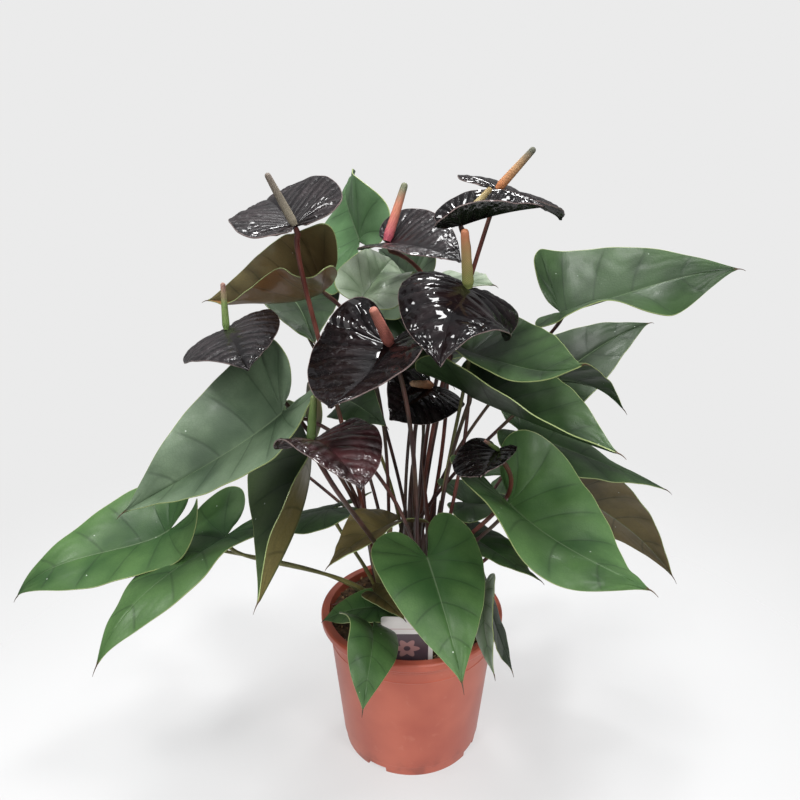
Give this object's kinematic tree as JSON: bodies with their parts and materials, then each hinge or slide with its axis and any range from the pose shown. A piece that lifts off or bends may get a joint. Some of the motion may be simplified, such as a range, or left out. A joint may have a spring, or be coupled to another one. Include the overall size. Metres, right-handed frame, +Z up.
{
  "type": "potted flamingo flower",
  "caption": "Flamingo flower with heart-shaped green leaves and near-black glossy blooms, standing in a tapered plastic nursery pot with a care label.",
  "frame": {"origin": "middle of the pot's underside, on the surface it stands on", "axes": "+Z up; +X to the right and +Y away from the viewer, seen from the side that the picture shows"},
  "size_m": [0.6173, 0.4332, 0.554],
  "materials": {
    "pot": "satin terracotta-coloured plastic",
    "soil": "dull crumbly potting soil",
    "label": "smooth card",
    "leaf": "satin green leaf with sunken veins",
    "young_leaf": "bronze young leaf",
    "spathe": "very glossy near-black bloom",
    "spadix": "finely bumpy, salmon to green",
    "stalk": "satin dark maroon and olive stalks"
  },
  "bodies": {
    "root": {"pot": "pot", "soil": "soil", "care_label": "label", "leaf_01": "leaf", "leaf_02": "leaf", "leaf_03": "leaf", "leaf_04": "leaf", "leaf_05": "leaf", "leaf_06": "young_leaf", "leaf_07": "leaf", "leaf_08": "leaf", "leaf_09": "leaf", "leaf_10": "leaf", "leaf_11": "leaf", "leaf_12": "leaf", "leaf_13": "leaf", "leaf_14": "leaf", "leaf_15": "leaf", "leaf_16": "leaf", "leaf_17": "leaf", "leaf_18": "leaf", "leaf_19": "leaf", "leaf_20": "leaf", "leaf_21": "leaf", "leaf_22": "leaf", "leaf_23": "leaf", "leaf_24": "leaf", "leaf_25": "leaf", "leaf_26": "leaf", "leaf_27": "leaf", "leaf_28": "leaf", "leaf_29": "leaf", "leaf_30": "leaf", "leaf_31": "leaf", "leaf_32": "leaf", "leaf_33": "leaf", "spathe_01": "spathe", "spadix_01": "spadix", "spathe_02": "spathe", "spadix_02": "spadix", "spathe_03": "spathe", "spadix_03": "spadix", "spathe_04": "spathe", "spadix_04": "spadix", "spathe_05": "spathe", "spadix_05": "spadix", "spathe_06": "spathe", "spadix_06": "spadix", "spathe_07": "spathe", "spadix_07": "spadix", "spathe_08": "spathe", "spadix_08": "spadix", "spathe_09": "spathe", "spadix_09": "spadix", "spathe_10": "spathe", "spadix_10": "spadix", "stalks_left": "stalk", "stalks_front": "stalk", "stalks_right": "stalk", "stalks_back": "stalk"}
  },
  "joints": []
}
